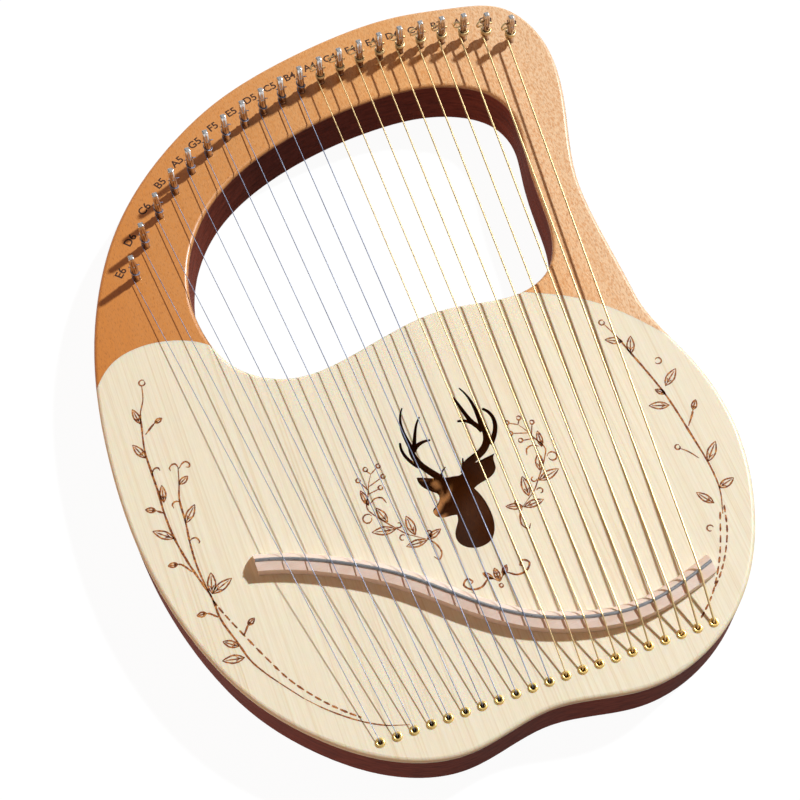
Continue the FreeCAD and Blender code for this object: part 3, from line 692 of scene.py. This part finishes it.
class Engraving:
    """Burnt lines on the soundboard, gathered into one mesh. Sizes are in millimetres."""

    def __init__(self, seed, mirror_about=None):
        self.shape = bmesh.new()
        self.chance = random.Random(seed)
        self.mirror_about = mirror_about

    def on_board(self, point, height):
        x = point[0] if self.mirror_about is None else 2 * self.mirror_about - point[0]
        return Vector((ART_X + x * MM, ART_Y + point[1] * MM, FACE + height))

    def line(self, points, width=1.05, taper=0.45, steps=6):
        """A smooth line through points, thinner at its ends."""
        path = curve_through([Vector((x, y, 0)) for x, y in points], steps)
        rings = []
        last = len(path) - 1
        for place, point in enumerate(path):
            before, after = path[max(place - 1, 0)], path[min(place + 1, last)]
            along = (after - before).normalized()
            across = Vector((-along.y, along.x, 0))
            end = min(1.0, 4 * min(place, last - place) / last)
            half = 0.5 * width * (taper + (1 - taper) * end) * self.chance.uniform(0.8, 1.2)
            left, right = point + across * half, point - across * half
            corners = [(left, LINE_BOTTOM), (right, LINE_BOTTOM), (right, LINE_TOP), (left, LINE_TOP)]
            rings.append([self.on_board(corner, height) for corner, height in corners])
        skin_rings(self.shape, rings)

    def dashes(self, points, dash=3.8, gap=1.0, width=1.15):
        """A broken line: dashes of a steady length along a smooth curve."""
        path = curve_through([Vector((x, y, 0)) for x, y in points], 10)
        piece, walked, drawing = [path[0]], 0.0, True
        for before, after in zip(path, path[1:]):
            walked += (after - before).length
            if drawing:
                piece.append(after)
            if walked > (dash if drawing else gap):
                if drawing and len(piece) > 1:
                    self.line([(point.x, point.y) for point in piece], width, 0.6, 2)
                piece, walked, drawing = [after], 0.0, not drawing
        if drawing and len(piece) > 1:
            self.line([(point.x, point.y) for point in piece], width, 0.6, 2)

    def leaf(self, base, tip, width=4.5, veins=1):
        """A pointed leaf with a midrib and side veins."""
        base, tip = Vector((*base, 0)), Vector((*tip, 0))
        along = tip - base
        across = Vector((-along.y, along.x, 0)).normalized() * width / 2

        def at(share, side):
            point = base + along * share + across * side
            return (point.x, point.y)

        for side in (1, -1):
            edge = [at(0.25, 0.75 * side), at(0.52, side), at(0.8, 0.55 * side)]
            self.line([at(0, 0), *edge, at(1, 0)], 1.0)
        self.line([at(0, 0), at(0.45, 0.06), at(0.85, 0)], 0.85)
        for vein in range(veins):
            root = 0.2 + 0.5 * vein / max(veins, 1)
            for side in (1, -1):
                rest = [at(root + 0.12, 0.35 * side), at(root + 0.2, 0.62 * side)]
                self.line([at(root, 0), *rest], 0.6, 0.4, 3)

    def curl(self, centre, radius, start=0, turn=300, width=0.95):
        """A tendril: a circle that closes in on itself, from a bearing in degrees."""
        points = []
        for step in range(CURL_STEPS + 1):
            share = step / CURL_STEPS
            angle = math.radians(start + turn * share)
            reach = radius * (1 - 0.25 * share)
            points.append((centre[0] + reach * math.cos(angle), centre[1] + reach * math.sin(angle)))
        self.line(points, width)

    def berry(self, centre, radius=1.5):
        self.curl(centre, radius, 40, 350, 1.0)

    def bud(self, points, width=3.0):
        """A short stalk with a closed bud at its end."""
        *stalk, heart, end = points
        if stalk:
            self.line([*stalk, heart], 1.2)
        self.leaf(heart, end, width)

    def finish(self, name):
        mesh = mesh_of(name, lambda shape: shape.from_mesh(self.as_mesh()))
        return new_piece(name, mesh, "burnt_line")

    def as_mesh(self):
        mesh = bpy.data.meshes.new("lines")
        self.shape.to_mesh(mesh)
        self.shape.free()
        return mesh


def engrave_sprig(name, mirrored):
    """The sprig on one side of the stag."""
    art = Engraving(7, STAG_MIDDLE if mirrored else None)
    art.line([(-18, -116), (-15.5, -118.8), (-12.7, -115), (-14, -109), (-17, -105)])
    art.line([
        (-17, -105), (-24, -100), (-28, -97), (-33, -91), (-37, -86), (-42, -79), (-44.5, -73),
        (-41, -65), (-38, -58), (-35, -53),
    ], 0.8)
    leaves = [
        ((-18, -105), (-31, -104.5), 4.2), ((-23.5, -99.5), (-24.5, -86), 4.6),
        ((-33, -92), (-47, -89), 5.0), ((-36, -86), (-39.5, -75), 4.2),
        ((-43, -72), (-44.5, -61), 3.2), ((-18, -104.5), (-8, -101), 3.6),
    ]
    for base, tip, width in leaves:
        art.leaf(base, tip, width)
    art.curl((-46.5, -80), 3.2, 20, 340)
    art.curl((-31, -98.5), 2.0, 30, 250)
    art.curl((-30.5, -90), 1.8, 200, 260)
    art.curl((-15.5, -101), 1.8, 240, 250)
    art.line([(-41.5, -71), (-38, -69), (-34, -70), (-32.5, -74)])
    art.line([(-35, -53), (-37, -50)], 0.8)
    art.line([(-35, -53), (-30, -50)], 0.8)
    art.line([(-40, -62.5), (-43, -56)], 0.8)
    art.line([(-39, -60.5), (-30, -57.5)], 0.8)
    art.line([(-41, -65), (-34, -64)], 0.8)
    for berry in [(-37, -49), (-29, -49.5), (-43.5, -54.5), (-28.5, -57), (-32.5, -63.5)]:
        art.berry(berry)
    art.finish(name)


def engrave_left_vine():
    """The tall vine up the left side of the board: two stems that join at the foot."""
    art = Engraving(11)
    art.line([
        (-148, 53), (-150, 43.5), (-154, 35), (-156, 25), (-158.5, 10), (-158.7, -5), (-158.5, -20),
        (-159, -34), (-158, -51), (-155, -68), (-151.5, -82), (-148, -95), (-147, -110),
        (-142, -127), (-138.5, -139), (-133, -149), (-126, -159), (-117, -171),
    ], 1.3)
    art.line([
        (-117, -171), (-108, -180.6), (-98, -189.4), (-88, -196.6), (-78, -202), (-66, -206),
    ], 0.8)
    art.line([
        (-142.7, -8), (-145, -18), (-148, -29), (-148.7, -44), (-150, -57), (-150.5, -71),
        (-149.6, -84), (-148, -95),
    ], 1.2)
    art.dashes([
        (-148, -97), (-144, -108), (-137.6, -123), (-130, -140), (-122.7, -155), (-116, -165.4),
        (-107, -176.6), (-98, -185.8), (-90, -192.8),
    ])
    leaves = [
        ((-156, 28), (-158, 39.5), 3.4), ((-159.4, 4.6), (-164.4, 16), 4.0),
        ((-157.2, -27.5), (-155.3, -16), 3.4),
        ((-158, -52), (-168.7, -43), 4.6), ((-147, -93), (-144, -80), 4.6),
        ((-147, -93), (-133.5, -87.6), 4.6), ((-141, -136.5), (-153.7, -134), 4.6),
        ((-142, -129), (-150, -123), 3.8), ((-149, -45), (-140.3, -35), 4.4),
    ]
    for base, tip, width in leaves:
        art.leaf(base, tip, width)
    art.bud([(-155, 20), (-150, 24), (-147.7, 25.5), (-142.5, 27.4)], 2.6)
    art.bud([(-159.4, -34), (-163, -31), (-169, -28)], 3.0)
    art.bud([(-154, -76), (-158, -70), (-160.5, -68.3), (-166.5, -67.4)], 2.8)
    art.bud([(-148, -108), (-151.4, -104.7), (-153.5, -103.4), (-159.5, -102.8)], 2.8)
    art.bud([(-137.6, -124), (-134.5, -120), (-133.5, -118.6), (-128.5, -115.6)], 2.8)
    curls = [
        [(-158.6, -9), (-158, -5.5), (-156, -3.9), (-154.1, -4.3), (-153.5, -6.5)],
        [(-147.9, -30.5), (-149.7, -29.4), (-151.6, -29.4), (-152.9, -30.7), (-152.7, -33.1)],
        [(-150.1, -56.8), (-147.9, -55.6), (-145.6, -56.1), (-144.5, -58.6), (-145.2, -60)],
        [(-142.5, -9), (-143.5, -5.6), (-145.6, -5.1), (-147.6, -6.6), (-147.6, -8.9)],
        [(-142.3, -9), (-139.7, -6.5), (-137.3, -6), (-135.6, -8), (-136.3, -10.1), (-138.3, -9.5)],
    ]
    for points in curls:
        art.line(points)
    art.leaf((-145.1, -19.3), (-138.8, -15.6), 3.4, 0)
    art.berry((-147.2, 55), 2.2)
    art.finish("engraved_vine_left")


def engrave_right_vine():
    """The vine up the right side of the board."""
    art = Engraving(13)
    art.dashes([(151, -148.4), (140.8, -170.5), (130.7, -186.7), (122.3, -196.7), (111.8, -205.9)])
    art.dashes([(155.1, -145.1), (150, -160.3), (142.2, -174.3), (134.2, -184.7), (128.3, -190.4)])
    art.line([
        (152, -150), (157, -135), (158, -118), (156, -95), (154, -75),
        (152, -62), (148, -45), (144, -30), (141, -18), (137, -7),
    ], 1.3)
    leaves = [
        ((150, -142), (143, -132), 4.2), ((157, -134), (168, -131), 4.4),
        ((158, -116), (168, -105), 4.8), ((152, -73), (140, -69), 4.6),
        ((155, -60), (166, -51), 4.8), ((153, -65), (148, -60), 3.0),
        ((144, -32), (149, -20), 4.4), ((143, -22), (133, -17), 4.2),
    ]
    for base, tip, width in leaves:
        art.leaf(base, tip, width)
    art.bud([(157, -90), (162, -84), (164, -81), (168.5, -75)], 3.0)
    art.line([(154, -112), (150, -106), (146, -102)], 0.8)
    art.berry((145, -100.8), 1.8)
    art.curl((158, -42), 2.4, 200, 300)
    art.curl((141, -156), 2.2, 0, 280)
    art.berry((136, -5), 2.0)
    art.finish("engraved_vine_right")


def engrave_flourish():
    """A plain scroll under the sound hole: two curls that meet at a leaf."""
    art = Engraving(17)
    middle, level = STAG_MIDDLE, -142
    for side in (1, -1):
        art.line([
            (middle, level - 2), (middle + 5 * side, level + 2), (middle + 11 * side, level - 1.5),
            (middle + 17 * side, level - 1), (middle + 20.5 * side, level + 3),
            (middle + 17.5 * side, level + 6), (middle + 14.8 * side, level + 3.6),
            (middle + 16.6 * side, level + 2.2),
        ], 1.2)
        art.leaf((middle + 3 * side, level + 0.8), (middle + 7.5 * side, level + 6.5), 2.6, 1)
    art.leaf((middle, level - 1.5), (middle, level + 7), 3.2, 2)
    art.berry((middle, level - 4.6), 1.3)
    art.finish("engraved_flourish")


# -------------------------------------------------------------------- note marks

NOTE_LETTERS = "EDCBAGFEDCBAGFEDCBAGF"
NOTE_OCTAVES = "666555555544444443333"
NOTE_SIZE = 7.7 * MM
# Millimetres from a pin to its mark, outward and along the row. Both change over the first
# pins of the row, then stay.
NOTE_OUTWARD = 11
NOTE_OUTWARD_CHANGE = 4
NOTE_ALONG = 2.0
NOTE_ALONG_CHANGE = -2.6
NOTE_CHANGE_PINS = 8
NOTE_SLOPE_SHARE = 0.78
NOTE_HALF_DEPTH = 0.05 * MM
NOTE_SWELL = 0.15 * MM
NOTE_SINK = 0.02 * MM


def engrave_note_marks():
    """The note of each string, burnt beside its pin and turned with the row."""
    for index, foot in enumerate(PIN_FEET):
        before, after = PIN_FEET[max(index - 1, 0)], PIN_FEET[min(index + 1, STRING_COUNT - 1)]
        along = (after - before).normalized()
        outward = Vector((-along.y, along.x, 0))
        share = min(index, NOTE_CHANGE_PINS) / NOTE_CHANGE_PINS
        place = foot + outward * (NOTE_OUTWARD + NOTE_OUTWARD_CHANGE * share) * MM
        place = place + along * (NOTE_ALONG + NOTE_ALONG_CHANGE * share) * MM
        text = bpy.data.curves.new(f"note_{two_digits(index)}", "FONT")
        text.body = NOTE_LETTERS[index] + NOTE_OCTAVES[index]
        text.size = NOTE_SIZE
        text.align_x = "CENTER"
        text.align_y = "CENTER"
        text.extrude = NOTE_HALF_DEPTH
        text.offset = NOTE_SWELL
        holder = bpy.data.objects.new(text.name, text)
        bpy.context.collection.objects.link(holder)
        bpy.context.view_layer.update()
        scene_state = bpy.context.evaluated_depsgraph_get()
        mesh = bpy.data.meshes.new_from_object(holder.evaluated_get(scene_state))
        bpy.data.objects.remove(holder)
        mark = bpy.data.objects.new(f"note_mark_{two_digits(index)}", mesh)
        bpy.context.collection.objects.link(mark)
        mark.location = (place.x, place.y, FACE - NOTE_SINK)
        mark.rotation_euler = (0, 0, NOTE_SLOPE_SHARE * math.atan2(along.y, along.x))
        dress(mark, "burnt_mark")
        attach(mark, "root")


# -------------------------------------------------------------------- the setting


FLOOR_REACH = 6.0


def make_floor():
    """A plain near-white floor that shows a faint shadow."""
    mesh = bpy.data.meshes.new("floor")
    corners = [(FLOOR_REACH * x, FLOOR_REACH * y, 0) for x, y in ((-1, -1), (1, -1), (1, 1), (-1, 1))]
    mesh.from_pydata(corners, [], [(0, 1, 2, 3)])
    floor = bpy.data.objects.new("floor", mesh)
    bpy.context.collection.objects.link(floor)
    white = Finish("floor", Roughness=0.9, Emission_Strength=0.95, Emission_Color=(1, 1, 1, 1))
    clouds = white.noise(white.stretched(1, 1, 1), 3.0, 2, 0.5)
    white.link(white.ramp(clouds, (0.0, 0.06), (1.0, 0.07)), "Base Color")
    mesh.materials.append(white.material)
    floor.visible_diffuse = False


make_camera()
make_sun()
make_world()
make_floor()
bpy.context.scene.view_settings.view_transform = "Standard"

FINISHES = make_finishes()
dress_cad_nodes()
make_pins()
engrave_sprig("engraved_sprig_left", mirrored=False)
engrave_sprig("engraved_sprig_right", mirrored=True)
engrave_left_vine()
engrave_right_vine()
engrave_flourish()
engrave_note_marks()
